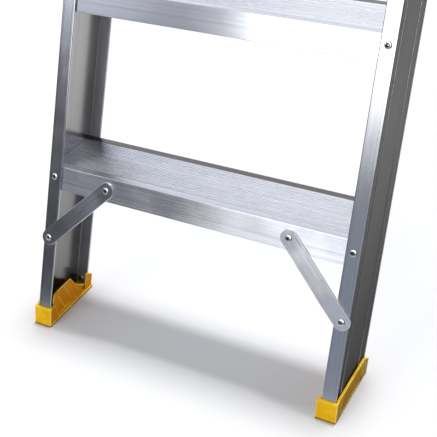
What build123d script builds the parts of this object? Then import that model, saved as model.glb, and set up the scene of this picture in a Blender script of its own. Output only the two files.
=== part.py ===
from build123d import *
import os
from math import atan2, ceil, cos, degrees, radians, sin, sqrt, tan

# Base section of an aluminium stepladder: two leaning channel stiles, two ribbed
# treads, two knee braces and two moulded boots, joined by blind rivets.
# X runs across the ladder, Y from front to back, Z up. The floor is Z = 0 and the
# origin is under the middle of the part's box. All sizes are in millimetres.

# ---- driving dimensions -------------------------------------------------------
# stance
lean_angle = 21.5  # lean of the stiles from the vertical, in degrees
inner_width = 470.0  # between the flange tips of the two stiles
stile_length = 625.0  # from the floor line to the square top end, along the stile
stile_end_height = 9.0  # level cut at the bottom of a stile, above the floor

# stile extrusion
stile_width = 23.0  # outside of the web to the flange tip
stile_depth = 101.0  # front flange face to rear flange face
flange_thickness = 3.5
web_thickness = 2.6
corner_radius = 1.6  # outside corners, web to flange
root_radius = 1.0  # inside corners
tip_radius = 1.5  # rounded flange tips
web_land = 1.0  # full-thickness strip of the web beside each rounded corner
band_inset = 14.0  # from a flange face to the raised band on the web
band_width = 11.0
band_height = 0.7  # how far the bands stand above the web
groove_inset = 4.5  # from a flange tip or the web's outside to a flange groove
groove_width = 1.2
groove_depth = 0.4

# tread extrusion
first_tread_height = 244.0  # floor to the top of the lower tread
tread_rise = 254.0  # top of one tread to the top of the next
tread_skirt_height = 34.5
tread_skirt_thickness = 2.5
tread_deck_thickness = 2.6
tread_lip_length = 11.0  # inward returns at the bottom of the skirts
tread_lip_thickness = 2.2
tread_strip_width = 9.5  # smooth strips along the front and rear edges
tread_rib_pitch = 4.0
tread_rib_width = 2.2
tread_rib_height = 0.9
tread_nose_radius = 1.2
tread_keel_depth = 9.0  # stiffening rib under the middle of the deck
tread_keel_thickness = 2.2
tread_end_gap = 1.0  # between a tread's end and the web

# knee braces, flat bars with round ends
brace_width = 25.0
brace_thickness = 3.0
brace_inner_reach = 151.5  # middle of the ladder to the upper rivet
brace_upper_drop = 19.1  # tread edge down to the upper rivet, along the stile
brace_lower_height = 148.8  # floor line to the lower rivet, along the stile
brace_upper_flat = 42.0  # straight run from the upper rivet to the first bend
brace_lower_flat = 36.0  # straight run from the lower rivet to the second bend

# blind rivets
rivet_head_radius = 5.2
rivet_head_height = 1.7
rivet_rim_height = 0.5
rivet_crown_radius = 2.7
rivet_shoulder_inset = 0.6  # domed edge of the head, from its rim
rivet_shoulder_height = 1.0
rivet_tail_chamfer = 0.8
rivet_radius = 2.4
rivet_bore_radius = 1.45
rivet_tail_radius = 3.7
rivet_tail_length = 4.0
rivet_hole_clearance = 0.05
stub_clearance = 0.05
stub_recess = 1.6  # broken end of the mandrel below the crown of the head
stub_head_length = 1.6
lower_tread_rivet_drop = 16.4  # tread edge down to its rivets, along the stile
upper_tread_rivet_drop = 13.4
cutter_margin = 2.0  # cutters reach past the faces they go through

# boots
foot_inner_ledge = 5.0  # from the flange tips to the inner side of the sole
foot_outer_wall = 4.0  # from the web to the face of the outer wall
foot_rear_wall = 7.0
foot_clearance = 0.3  # between the boot and the stile
toe_start = -0.5  # bottom front edge, behind the stile's floor line
toe_setback = 7.0  # how far the toe's top edge lies behind its bottom edge
toe_height = 29.2
toe_edge_radius = 2.0
cheek_thickness = 1.8  # wall between the toe and the inner plate
plate_thickness = 2.5  # inner plate, in the mouth of the channel
plate_front_start = 29.0  # front edge of the inner plate, on the floor
plate_waist_start = 20.5  # its foremost corner
plate_waist_height = 33.5
plate_shoulder_start = 26.5
plate_shoulder_height = 44.5
plate_top_start = 36.0
plate_height = 47.0
plate_top_length = 36.0
notch_start_height = 28.4
notch_start_run = 9.5  # from the end of the plate's top to the notch floor
notch_end_height = 9.4
outer_wall_height = 32.5
outer_wall_front = 20.0  # where the outer wall reaches its full height
outer_field_start = 21.0  # recessed field with the fine ribs
outer_field_relief = 1.4
outer_field_rim = 1.8  # plain rim above the field, and before its rear end
hook_wall = 2.2  # rear tab that hooks round the tip of the rear flange
tab_depth = 17.5  # along the depth of the stile
tab_front_height = 69.8  # top of the rear tab, along the stile
tab_rear_height = 66.0
foot_rib_angle = 19.5  # the ribs lean forward by this much
foot_rim = 2.2  # rim round the recessed panels
plate_rib_width = 2.2
plate_rib_start = 49.0  # first rib's place on the floor
plate_rib_pitch = 20.5
plate_rib_count = 3
plate_relief = 1.2  # panels behind the tops of the ribs
outer_rib_width = 2.4
outer_rib_pitch = 5.6
outer_rib_relief = 0.4  # tops of the fine ribs behind the rim
sole_band_height = 4.0
sole_groove_pitch = 7.0
sole_groove_width = 4.0
sole_groove_depth = 2.4
sole_edge = 5.0  # plain sole before the first groove and after the last
foot_rivet_height = 57.5  # floor line to the boot's rivet, along the stile
foot_rivet_recess = 4.2  # round seat of the rivet's head in the rear wall
foot_rivet_seat_clearance = 0.6  # from the head's rim to the edge of that seat

# ---- derived places -----------------------------------------------------------
lean = radians(lean_angle)
inner_edge = inner_width / 2
outer_edge = inner_edge + stile_width
flange_middle = inner_edge + stile_width / 2
web_inside = outer_edge - web_thickness
tread_end = web_inside - tread_end_gap
foot_inner_face = inner_edge - foot_inner_ledge
foot_outer_face = outer_edge + foot_outer_wall
hole_radius = rivet_radius + rivet_hole_clearance
pocket_inner_face = inner_edge - foot_clearance
pocket_outer_face = outer_edge + foot_clearance


def at_depth(z, depth):
    """Y of the plane that lies depth behind the stiles' front face, at height z."""
    return z * tan(lean) + depth / cos(lean)


def on_stile(run, depth):
    """(Y, Z) of a point run along the stile and depth behind its front face."""
    return (run * sin(lean) + depth * cos(lean), run * cos(lean) - depth * sin(lean))


front_limit = toe_start
rear_limit = on_stile(stile_length, stile_depth)[0]
centre_shift = Location((0, -(front_limit + rear_limit) / 2, 0))


def stile_plane(x, run, depth):
    """Plane across the stile: local X is X, local Y is depth, normal up the stile."""
    y, z = on_stile(run, depth)
    return Plane(origin=(x, y, z), x_dir=(1, 0, 0), z_dir=(0, sin(lean), cos(lean)))


def prism(points, x_low, x_high):
    """Solid with the side outline points, given as (Y, Z), between two X values."""
    face = Plane.YZ.offset(x_low) * make_face(Polyline(*points, close=True))
    return extrude(face, amount=x_high - x_low, dir=(1, 0, 0))


def pin(x, run, depth, direction, radius, length):
    """Cylinder that starts at a place on the stile and runs along direction."""
    y, z = on_stile(run, depth)
    plane = Plane(origin=(x, y, z), z_dir=direction)
    return plane * Cylinder(radius, length, align=(Align.CENTER, Align.CENTER, Align.MIN))


backwards = (0, cos(lean), -sin(lean))
forwards = (0, -cos(lean), sin(lean))


def tread_edge_run(height):
    """Distance along the stile to the top front edge of a tread."""
    y = at_depth(height, flange_thickness)
    return y * sin(lean) + height * cos(lean)


# each tread's height and the distance along the stile to its rivets
upper_tread_height = first_tread_height + tread_rise
treads = {
    "lower": (first_tread_height, tread_edge_run(first_tread_height) - lower_tread_rivet_drop),
    "upper": (upper_tread_height, tread_edge_run(upper_tread_height) - upper_tread_rivet_drop),
}


# ---- stiles -------------------------------------------------------------------
def stile_section():
    """Channel section of the right stile: local X is X, local Y is depth."""
    body = Pos((inner_edge + outer_edge) / 2, stile_depth / 2) * Rectangle(stile_width, stile_depth)
    outside = body.vertices().sort_by(Axis.X)[-2:]
    body = fillet(outside, corner_radius)
    hollow_width = web_inside - inner_edge
    hollow_depth = stile_depth - 2 * flange_thickness
    hollow = Pos(inner_edge + hollow_width / 2, stile_depth / 2) * Rectangle(hollow_width, hollow_depth)
    roots = hollow.vertices().sort_by(Axis.X)[-2:]
    body -= fillet(roots, root_radius)
    body = fillet(body.vertices().sort_by(Axis.X)[:4], tip_radius)
    # the web is lower between and beside its two raised bands
    land = corner_radius + web_land
    panel_starts = [land, band_inset + band_width, stile_depth - band_inset]
    panel_ends = [band_inset, stile_depth - band_inset - band_width, stile_depth - land]
    for start, end in zip(panel_starts, panel_ends):
        body -= Pos(outer_edge, (start + end) / 2) * Rectangle(2 * band_height, end - start)
    # fine grooves along both flange faces
    for x in (inner_edge + groove_inset, outer_edge - groove_inset):
        for depth in (0.0, stile_depth):
            body -= Pos(x, depth) * Rectangle(groove_width, 2 * groove_depth)
    return body


def right_stile():
    """Right stile with its level bottom, square top and rivet holes."""
    section = stile_plane(0, 0, 0) * stile_section()
    solid = extrude(section, amount=stile_length, dir=(0, sin(lean), cos(lean)))
    lower = extrude(section, amount=stile_depth, dir=(0, -sin(lean), -cos(lean)))
    solid += lower
    reach = 4 * stile_depth
    solid -= Pos(0, 0, stile_end_height) * Box(
        3 * inner_width, reach, reach, align=(Align.CENTER, Align.CENTER, Align.MAX)
    )
    front_runs = [run for height, run in treads.values()] + [brace_lower_height]
    rear_runs = [run for height, run in treads.values()] + [foot_rivet_height]
    hole = flange_thickness + 2 * cutter_margin
    for run in front_runs:
        solid -= pin(flange_middle, run, -cutter_margin, backwards, hole_radius, hole)
    for run in rear_runs:
        solid -= pin(flange_middle, run, stile_depth + cutter_margin, forwards, hole_radius, hole)
    return solid


# ---- treads -------------------------------------------------------------------
def tread(height, rivet_run):
    """Ribbed tread with skirts that lie on the inside of the flanges."""
    rear_depth = stile_depth - flange_thickness
    bottom = height - tread_skirt_height
    skirt = tread_skirt_thickness
    outline = [
        (at_depth(height, flange_thickness), height),
        (at_depth(height, rear_depth), height),
        (at_depth(bottom, rear_depth), bottom),
        (at_depth(bottom, flange_thickness), bottom),
    ]
    body = prism(outline, -tread_end, tread_end)
    nose = body.edges().filter_by(Axis.X).group_by(Axis.Z)[-1]
    body = fillet(nose, tread_nose_radius)
    # hollow under the deck, open between the two bottom lips
    under_deck = height - tread_deck_thickness
    over_lip = bottom + tread_lip_thickness
    hollow = [
        (at_depth(under_deck, flange_thickness + skirt), under_deck),
        (at_depth(under_deck, rear_depth - skirt), under_deck),
        (at_depth(over_lip, rear_depth - skirt), over_lip),
        (at_depth(over_lip, flange_thickness + skirt), over_lip),
    ]
    body -= prism(hollow, -outer_edge, outer_edge)
    mouth_front = at_depth(bottom, flange_thickness) + tread_lip_length
    mouth_rear = at_depth(bottom, rear_depth) - tread_lip_length
    mouth = [
        (mouth_front, over_lip + cutter_margin),
        (mouth_rear, over_lip + cutter_margin),
        (mouth_rear, bottom - cutter_margin),
        (mouth_front, bottom - cutter_margin),
    ]
    body -= prism(mouth, -outer_edge, outer_edge)
    # keel under the middle of the deck
    middle = (outline[0][0] + outline[1][0]) / 2
    keel_half = tread_keel_thickness / 2
    keel = [
        (middle - keel_half, under_deck),
        (middle + keel_half, under_deck),
        (middle + keel_half, under_deck - tread_keel_depth),
        (middle - keel_half, under_deck - tread_keel_depth),
    ]
    body += prism(keel, -tread_end, tread_end)
    # furrows between the ribs of the walking surface
    ribbed_start = outline[0][0] + tread_strip_width
    ribbed_end = outline[1][0] - tread_strip_width
    furrow = tread_rib_pitch - tread_rib_width
    furrow_count = int((ribbed_end - ribbed_start) // tread_rib_pitch)
    first = (ribbed_start + ribbed_end - (furrow_count - 1) * tread_rib_pitch) / 2
    for index in range(furrow_count):
        y = first + index * tread_rib_pitch
        cut = Pos(0, y, height) * Box(2 * outer_edge, furrow, 2 * tread_rib_height)
        body -= cut
    hole = skirt + 2 * cutter_margin
    for x in (-flange_middle, flange_middle):
        body -= pin(x, rivet_run, flange_thickness - cutter_margin, backwards, hole_radius, hole)
        body -= pin(x, rivet_run, rear_depth + cutter_margin, forwards, hole_radius, hole)
    return body


def brace_upper_run():
    """Distance along the stile to the upper brace rivet."""
    return tread_edge_run(first_tread_height) - brace_upper_drop


def lower_tread():
    """Lower tread, drilled for the two braces as well."""
    body = tread(*treads["lower"])
    for x in (-brace_inner_reach, brace_inner_reach):
        start = flange_thickness - cutter_margin
        length = tread_skirt_thickness + 2 * cutter_margin
        body -= pin(x, brace_upper_run(), start, backwards, hole_radius, length)
    return body


# ---- braces -------------------------------------------------------------------
def right_brace():
    """Flat bar from the tread's skirt to the stile's front flange, bent to meet both."""
    across = flange_middle - brace_inner_reach
    down = brace_upper_run() - brace_lower_height
    span = sqrt(across**2 + down**2)
    end = brace_width / 2
    y, z = on_stile(brace_upper_run(), 0)
    slope = atan2(down, across)
    along = (cos(slope), -sin(slope) * sin(lean), -sin(slope) * cos(lean))
    # local X runs down the bar, local Z points to the front
    plane = Plane(origin=(brace_inner_reach, y, z), x_dir=along, z_dir=forwards)
    first_bend = brace_upper_flat
    second_bend = span - brace_lower_flat
    upper = -flange_thickness  # back of the bar lies on the skirt here
    lower = 0.0  # and on the stile's front face here
    profile = [
        (-end, upper),
        (first_bend, upper),
        (second_bend, lower),
        (span + end, lower),
        (span + end, lower + brace_thickness),
        (second_bend, lower + brace_thickness),
        (first_bend, upper + brace_thickness),
        (-end, upper + brace_thickness),
    ]
    side = Plane.XZ * make_face(Polyline(*profile, close=True))
    bar = extrude(side, amount=brace_width / 2, both=True)
    outline = Pos(span / 2, 0) * SlotOverall(span + brace_width, brace_width)
    depth = flange_thickness + brace_thickness + 2 * cutter_margin
    bar &= Pos(0, 0, -flange_thickness - cutter_margin) * extrude(outline, amount=depth)
    for x in (0, span):
        bar -= Pos(x, 0, 0) * Cylinder(hole_radius, 4 * depth)
    return plane * bar


# ---- rivets -------------------------------------------------------------------
def rivet_body(grip):
    """Set blind rivet: head above local Z = 0, shank and tail below."""
    tail_start = -grip
    tail_end = -grip - rivet_tail_length
    points = [
        (rivet_bore_radius, rivet_head_height),
        (rivet_crown_radius, rivet_head_height),
        (rivet_head_radius - rivet_shoulder_inset, rivet_shoulder_height),
        (rivet_head_radius, rivet_rim_height),
        (rivet_head_radius, 0),
        (rivet_radius, 0),
        (rivet_radius, tail_start),
        (rivet_tail_radius, tail_start),
        (rivet_tail_radius, tail_end + rivet_tail_chamfer),
        (rivet_tail_radius - rivet_tail_chamfer, tail_end),
        (rivet_bore_radius, tail_end),
    ]
    return revolve(Plane.XZ * make_face(Polyline(*points, close=True)), Axis.Z)


def rivet_stub(grip):
    """Broken mandrel that stays in the rivet, its head against the tail."""
    tail_end = -grip - rivet_tail_length
    radius = rivet_bore_radius - stub_clearance
    points = [
        (0, rivet_head_height - stub_recess),
        (radius, rivet_head_height - stub_recess),
        (radius, tail_end),
        (rivet_radius, tail_end),
        (rivet_radius, tail_end - stub_head_length),
        (0, tail_end - stub_head_length),
    ]
    return revolve(Plane.XZ * make_face(Polyline(*points, close=True)), Axis.Z)


def rivet_places():
    """Group name, then (X, run, depth, outward direction, grip) on the right side."""
    skirt_grip = flange_thickness + tread_skirt_thickness
    places = {}
    for name, (height, run) in treads.items():
        places[name + "_tread_front"] = (flange_middle, run, 0, forwards, skirt_grip)
        places[name + "_tread_rear"] = (flange_middle, run, stile_depth, backwards, skirt_grip)
    upper_face = flange_thickness - brace_thickness
    upper_grip = brace_thickness + tread_skirt_thickness
    places["brace_upper"] = (brace_inner_reach, brace_upper_run(), upper_face, forwards, upper_grip)
    lower_grip = brace_thickness + flange_thickness
    places["brace_lower"] = (flange_middle, brace_lower_height, -brace_thickness, forwards, lower_grip)
    seat = stile_depth + foot_rear_wall - foot_rivet_recess
    seat_grip = foot_rear_wall - foot_rivet_recess + flange_thickness
    places["foot"] = (flange_middle, foot_rivet_height, seat, backwards, seat_grip)
    return places


def place(shape, x, run, depth, outward):
    """Put a rivet or stub with its head's seat at a place on the stile."""
    y, z = on_stile(run, depth)
    return Plane(origin=(x, y, z), z_dir=outward) * shape


# ---- boots --------------------------------------------------------------------
rear_face_depth = stile_depth + foot_rear_wall
tab_front_depth = rear_face_depth - tab_depth
plate_rear_depth = stile_depth - flange_thickness - foot_clearance
heel = at_depth(0, rear_face_depth)
toe_top_start = toe_start + toe_setback


def toe_outline():
    """Side outline of the toe, in front of the stile."""
    return [
        (toe_start, 0),
        (toe_top_start, toe_height),
        (at_depth(toe_height, -foot_clearance), toe_height),
        (at_depth(0, -foot_clearance), 0),
    ]


def block_outline(height):
    """Side outline of a block from the toe's front face to the rear face."""
    return [
        (toe_start, 0),
        (heel, 0),
        (at_depth(height, rear_face_depth), height),
        (toe_start + toe_setback * height / toe_height, height),
    ]


def tab_top(depth):
    """Point on the sloping top of the rear tab, at a depth."""
    share = (rear_face_depth - depth) / tab_depth
    return on_stile(tab_rear_height + share * (tab_front_height - tab_rear_height), depth)


def rear_outline(front_depth):
    """Side outline of a rear wall that starts at a depth."""
    return [
        (heel, 0),
        tab_top(rear_face_depth),
        tab_top(front_depth),
        (at_depth(0, front_depth), 0),
    ]


def plate_outline():
    """Side outline of the inner plate, with its notch before the rear flange."""
    plate_top_end = plate_top_start + plate_top_length
    return [
        (plate_front_start, 0),
        (at_depth(0, plate_rear_depth), 0),
        (at_depth(notch_end_height, plate_rear_depth), notch_end_height),
        (plate_top_end + notch_start_run, notch_start_height),
        (plate_top_end, plate_height),
        (plate_top_start, plate_height),
        (plate_shoulder_start, plate_shoulder_height),
        (plate_waist_start, plate_waist_height),
    ]


def cheek_outline():
    """Side outline of the low wall between the toe and the inner plate."""
    return [
        (toe_start, 0),
        (toe_top_start, toe_height),
        (plate_waist_start, toe_height),
        (plate_front_start, 0),
    ]


def outer_outline():
    """Side outline of the outer wall, which runs into the rear wall."""
    return [
        (toe_start, 0),
        (heel, 0),
        tab_top(rear_face_depth),
        tab_top(tab_front_depth),
        (outer_wall_front, outer_wall_height),
        (at_depth(toe_height, -foot_clearance), toe_height),
        (toe_top_start, toe_height),
    ]


def slanted_bars(first, pitch, count, width, height):
    """Sketch of parallel ribs that lean forward, in the side plane."""
    sweep = height * tan(radians(foot_rib_angle))
    half = width / 2
    bars = Sketch()
    for index in range(count):
        start = first + index * pitch
        bar = [
            (start - half, 0),
            (start + half, 0),
            (start + half - sweep, height),
            (start - half - sweep, height),
        ]
        bars += make_face(Polyline(*bar, close=True))
    return bars


def side_cut(sketch, x_low, x_high):
    """Solid made from a side-plane sketch between two X values."""
    return extrude(Plane.YZ.offset(x_low) * sketch, amount=x_high - x_low, dir=(1, 0, 0))


def plate_panels():
    """Recessed panels between the ribs of the inner plate."""
    outline = make_face(Polyline(*plate_outline(), close=True))
    panels = offset(outline, -foot_rim, kind=Kind.INTERSECTION)
    panels -= Rectangle(4 * heel, 2 * (sole_band_height + foot_rim))
    ribs = slanted_bars(plate_rib_start, plate_rib_pitch, plate_rib_count, plate_rib_width, plate_height)
    return panels - ribs


def outer_field():
    """Long recessed field on the outer wall, with slanted ends."""
    low = sole_band_height
    high = outer_wall_height - outer_field_rim
    sweep = (high - low) * tan(radians(foot_rib_angle))
    end = at_depth(low, tab_front_depth) - outer_field_rim
    corners = [(outer_field_start, low), (end, low), (end, high), (outer_field_start + sweep, high)]
    return make_face(Polyline(*corners, close=True))


def outer_ribs():
    """Fine ribs that cover the outer field."""
    count = int(2 * heel // outer_rib_pitch)
    return slanted_bars(outer_field_start, outer_rib_pitch, count, outer_rib_width, outer_wall_height)


def sole_grooves():
    """Saw-tooth grooves across the sole."""
    grooves = Part()
    length = heel - toe_start - 2 * sole_edge
    count = int(length // sole_groove_pitch)
    margin = (length - count * sole_groove_pitch) / 2
    for index in range(count):
        start = toe_start + sole_edge + margin + index * sole_groove_pitch
        tooth = [
            (start, -cutter_margin),
            (start, 0),
            (start, sole_groove_depth),
            (start + sole_groove_width, 0),
            (start + sole_groove_width, -cutter_margin),
        ]
        grooves += prism(tooth, foot_inner_face - cutter_margin, foot_outer_face + cutter_margin)
    return grooves


def toe_rounding():
    """Block round the whole boot with the toe's two front corners rounded."""
    width = foot_outer_face - foot_inner_face
    length = 2 * heel
    plan = Pos(foot_inner_face + width / 2, toe_start + length / 2) * Rectangle(width, length)
    plan = fillet(plan.vertices().sort_by(Axis.Y)[:2], toe_edge_radius)
    rise = 3 * plate_height
    run = rise * toe_setback / toe_height
    return extrude(plan, amount=sqrt(rise**2 + run**2), dir=(0, run, rise))


def right_foot():
    """Moulded boot that takes the bottom end of the right stile."""
    plate_face = pocket_inner_face
    rear_start = stile_depth + foot_clearance
    body = prism(block_outline(sole_band_height), foot_inner_face, foot_outer_face)
    body += prism(block_outline(stile_end_height), plate_face, foot_outer_face)
    body += prism(toe_outline(), foot_inner_face, foot_outer_face)
    body += prism(rear_outline(rear_start), plate_face - hook_wall, foot_outer_face)
    body += prism(rear_outline(tab_front_depth), plate_face - hook_wall, plate_face)
    body += prism(cheek_outline(), plate_face - cheek_thickness, plate_face)
    body += prism(plate_outline(), plate_face, plate_face + plate_thickness)
    body += prism(outer_outline(), pocket_outer_face, foot_outer_face)
    body -= side_cut(plate_panels(), plate_face - cutter_margin, plate_face + plate_relief)
    outer_floor = foot_outer_face - outer_field_relief
    body -= side_cut(outer_field() - outer_ribs(), outer_floor, foot_outer_face + cutter_margin)
    body -= side_cut(outer_field(), foot_outer_face - outer_rib_relief, foot_outer_face + cutter_margin)
    body -= sole_grooves()
    body &= toe_rounding()
    # rivet hole and the seat of its head in the rear wall
    start = stile_depth - cutter_margin
    length = foot_rear_wall + 2 * cutter_margin
    body -= pin(flange_middle, foot_rivet_height, start, backwards, hole_radius, length)
    seat_radius = rivet_head_radius + foot_rivet_seat_clearance
    seat_depth = rear_face_depth - foot_rivet_recess
    body -= pin(flange_middle, foot_rivet_height, seat_depth, backwards, seat_radius, foot_rear_wall)
    return body


# ---- assembly -----------------------------------------------------------------
def both_sides(shape):
    """The right-hand shape and its mirror image."""
    return shape, mirror(shape, about=Plane.YZ)


def save(name, solids):
    """Write one node, moved so that the origin is under the middle of the part."""
    placed = [centre_shift * solid for solid in solids]
    node = placed[0] if len(placed) == 1 else Compound(children=placed)
    node.label = name
    export_step(node, f"parts/{name}.step")


os.makedirs("parts", exist_ok=True)
for name, shape in (("stile", right_stile()), ("brace", right_brace()), ("foot", right_foot())):
    right, left = both_sides(shape)
    save(name + "_right", [right])
    save(name + "_left", [left])
save("tread_lower", [lower_tread()])
save("tread_upper", [tread(*treads["upper"])])
for name, (x, run, depth, outward, grip) in rivet_places().items():
    save("rivets_" + name, both_sides(place(rivet_body(grip), x, run, depth, outward)))
    save("rivet_stubs_" + name, both_sides(place(rivet_stub(grip), x, run, depth, outward)))
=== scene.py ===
"""Looks of the base section of an aluminium stepladder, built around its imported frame.

Every piece of the ladder is a class that holds its sizes in millimetres, builds its
meshes and dresses them in a finish. All places are counted from the line where the
front faces of the two stiles meet the floor.
"""
import logging
import math
from collections.abc import Callable, Iterable, Sequence
from dataclasses import dataclass
from enum import Enum

import bmesh
import bpy
from mathutils import Matrix, Vector


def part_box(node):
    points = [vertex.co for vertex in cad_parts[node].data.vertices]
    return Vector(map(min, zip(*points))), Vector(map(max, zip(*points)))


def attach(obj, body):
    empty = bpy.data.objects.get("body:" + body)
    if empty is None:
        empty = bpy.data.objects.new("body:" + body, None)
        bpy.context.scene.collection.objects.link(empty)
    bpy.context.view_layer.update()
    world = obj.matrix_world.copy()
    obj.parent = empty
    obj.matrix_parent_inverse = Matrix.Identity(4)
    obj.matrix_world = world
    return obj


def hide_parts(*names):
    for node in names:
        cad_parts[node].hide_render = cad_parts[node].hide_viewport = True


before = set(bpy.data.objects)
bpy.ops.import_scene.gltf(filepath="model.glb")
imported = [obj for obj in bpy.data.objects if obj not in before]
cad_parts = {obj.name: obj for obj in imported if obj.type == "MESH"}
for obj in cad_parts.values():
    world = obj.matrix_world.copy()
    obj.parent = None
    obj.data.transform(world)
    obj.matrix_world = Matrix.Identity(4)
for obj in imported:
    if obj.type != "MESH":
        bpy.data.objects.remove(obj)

LOG = logging.getLogger("stepladder")
MM = 0.001
BODY = "root"


class Side(Enum):
    """The two halves of the ladder, as factors on X."""

    RIGHT = 1
    LEFT = -1


class Half(Enum):
    """The two halves of the surround, as how much of it lies behind the ladder."""

    IN_FRONT = 0.0
    BEHIND = 1.0


class Drawn(Enum):
    """The directions that bars were drawn in, which their fine lines follow, rounded."""

    UP_THE_STILE = (0.0, 0.3665, 0.9304)
    ACROSS = (1.0, 0.0, 0.0)
    ALONG_RIGHT_BRACE = (0.7071, -0.2592, -0.6579)
    ALONG_LEFT_BRACE = (-0.7071, -0.2592, -0.6579)


# ---- stance ---------------------------------------------------------------------
@dataclass(frozen=True)
class Stance:
    """How the stiles stand, and the sizes that all pieces share."""

    lean: float = math.radians(21.5)
    inner_edge: float = 235.0
    stile_width: float = 23.0
    stile_depth: float = 101.0
    flange: float = 3.5
    web: float = 2.6
    toe_start: float = -0.5
    first_tread: float = 244.0
    tread_rise: float = 254.0

    @property
    def outer_edge(self) -> float:
        """Outside of a stile's web."""
        return self.inner_edge + self.stile_width

    @property
    def flange_middle(self) -> float:
        """Middle of a flange, where its rivets are."""
        return self.inner_edge + self.stile_width / 2

    @property
    def floor_line(self) -> Vector:
        """Middle of the line where the stiles' front faces meet the floor, in metres."""
        return Vector((0.0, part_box("foot_right")[0].y - self.toe_start * MM, 0.0))

    def stile_matrix(self) -> Matrix:
        """Turns (across, depth, run) in millimetres into a place in the frame."""
        across = Vector((1.0, 0.0, 0.0))
        behind = Vector((0.0, math.cos(self.lean), -math.sin(self.lean)))
        upwards = Vector((0.0, math.sin(self.lean), math.cos(self.lean)))
        turn = Matrix((across, behind, upwards)).transposed().to_4x4()
        return Matrix.Translation(self.floor_line) @ turn @ Matrix.Scale(MM, 4)

    def level_matrix(self) -> Matrix:
        """Turns (across, back, up) in millimetres into a place in the frame."""
        return Matrix.Translation(self.floor_line) @ Matrix.Scale(MM, 4)

    def at_depth(self, height: float, depth: float) -> float:
        """Finds a plane parallel to the stiles' front face.

        Args:
            height: height above the floor.
            depth: how far the plane lies behind the front face.

        Returns:
            How far the plane is behind the floor line at that height.
        """
        return height * math.tan(self.lean) + depth / math.cos(self.lean)

    def tread_run(self, height: float) -> float:
        """Distance along the stile to the top front edge of a tread of that height."""
        back = self.at_depth(height, self.flange)
        return back * math.sin(self.lean) + height * math.cos(self.lean)


# ---- node graphs ----------------------------------------------------------------
Pair = tuple[bpy.types.Node, str | int]


class Graph:
    """A material's or a world's node tree, built up by short calls."""

    def __init__(self, tree: bpy.types.NodeTree) -> None:
        """Starts from an empty tree.

        Args:
            tree: the tree to fill.
        """
        self.tree = tree
        tree.nodes.clear()

    def add(self, kind: str, settings: dict[str, object] | None = None,
            **inputs: object) -> bpy.types.Node:
        """Adds a node.

        Args:
            kind: the node's type, without its ShaderNode prefix.
            settings: attributes of the node.
            inputs: values for its inputs, or (node, output) pairs to link to them. An
                underscore stands for a space, and i0, i1 and so on for a place.

        Returns:
            The new node.
        """
        node = self.tree.nodes.new("ShaderNode" + kind)
        for name, value in (settings or {}).items():
            setattr(node, name, value)
        for name, value in inputs.items():
            numbered = name[0] == "i" and name[1:].isdigit()
            socket = node.inputs[int(name[1:]) if numbered else name.replace("_", " ")]
            if isinstance(value, tuple) and isinstance(value[0], bpy.types.Node):
                self.tree.links.new(value[0].outputs[value[1]], socket)
            else:
                socket.default_value = value
        return node

    def ramp(self, source: Pair, low: float, high: float, to_low: float, to_high: float,
             smooth: bool = True) -> Pair:
        """Adds a Map Range node.

        Args:
            source: the (node, output) pair that it reads.
            low: start of the input range.
            high: end of the input range.
            to_low: value at the start.
            to_high: value at the end.
            smooth: whether it eases in and out.

        Returns:
            The (node, output) pair of the result.
        """
        kind = {"interpolation_type": "SMOOTHSTEP" if smooth else "LINEAR"}
        ends = {"From_Min": low, "From_Max": high, "To_Min": to_low, "To_Max": to_high}
        return self.add("MapRange", kind, Value=source, **ends), "Result"

    def math(self, operation: str, first: object, second: object = 0.0) -> Pair:
        """Adds a Math node.

        Args:
            operation: the node's operation.
            first: a number or a (node, output) pair.
            second: the same, for the second input.

        Returns:
            The (node, output) pair of the result.
        """
        return self.add("Math", {"operation": operation}, i0=first, i1=second), "Value"

    def noise(self, place: Pair, scale: float, detail: float, roughness: float = 0.6) -> Pair:
        """Adds a Noise Texture node.

        Args:
            place: the coordinates that it reads.
            scale: how often the noise changes over a metre.
            detail: how many finer layers it has.
            roughness: how strong the finer layers are.

        Returns:
            The (node, output) pair of the noise.
        """
        return self.add("TexNoise", Vector=place, Scale=scale, Detail=detail, Roughness=roughness), "Fac"

    def mix(self, share: object, first: object, second: object, blend: str = "MIX") -> Pair:
        """Adds a Mix node for colours.

        Args:
            share: how much of the second colour comes in, a number or a (node, output) pair.
            first: a colour or a (node, output) pair.
            second: the same.
            blend: the node's blend type.

        Returns:
            The (node, output) pair of the result.
        """
        settings = {"data_type": "RGBA", "blend_type": blend}
        return self.add("Mix", settings, Factor=share, i6=first, i7=second), 2


def new_material(name: str) -> tuple[bpy.types.Material, Graph]:
    """Makes an empty node material.

    Args:
        name: the material's name.

    Returns:
        The material and its graph.
    """
    material = bpy.data.materials.new(name)
    material.use_nodes = True
    return material, Graph(material.node_tree)


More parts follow.
